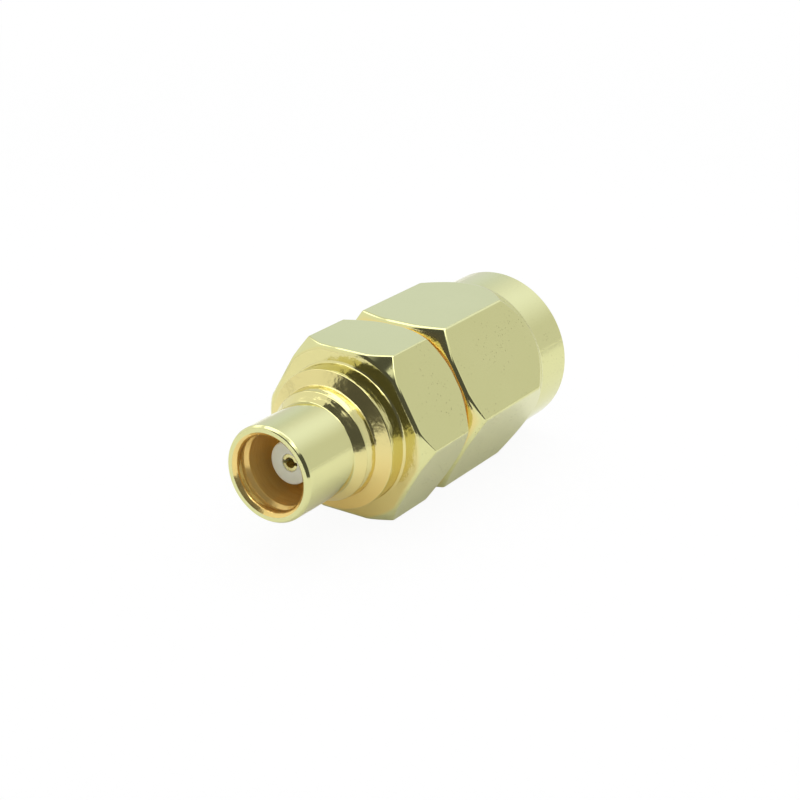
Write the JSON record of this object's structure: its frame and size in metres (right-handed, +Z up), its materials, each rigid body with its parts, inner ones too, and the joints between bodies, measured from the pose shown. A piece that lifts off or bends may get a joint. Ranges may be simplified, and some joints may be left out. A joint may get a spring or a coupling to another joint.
{
  "type": "coax adapter",
  "caption": "Straight gold-plated coax adapter with a small push-in jack, a hexagonal body and a free-spinning hexagonal coupling nut with a round skirt.",
  "frame": {"origin": "on the axis at the plug's reference plane, where the ferrule and the plug insulator end and the pin begins", "axes": "+X along the axis out of the plug end, +Z up and square to a pair of hexagon flats, which lie level"},
  "size_m": [0.019, 0.0092, 0.008],
  "materials": {
    "gold_plate": "polished pale gold plating over turned brass",
    "ptfe": "satin translucent white",
    "gasket_rubber": "matt silicone"
  },
  "bodies": {
    "adapter_body": {"plug_body": "gold_plate", "jack_barrel": "gold_plate", "jack_insulator": "ptfe", "centre_contact": "gold_plate", "plug_insulator": "ptfe", "gasket": "gasket_rubber", "retaining_ring": "gold_plate"},
    "nut": {"coupling_nut": "gold_plate"}
  },
  "joints": [
    {"name": "nut_spin", "type": "hinge", "parent": "adapter_body", "child": "nut", "pos_m": [-0.0035, 0, 0], "axis": [1, 0, 0], "continuous": true}
  ]
}
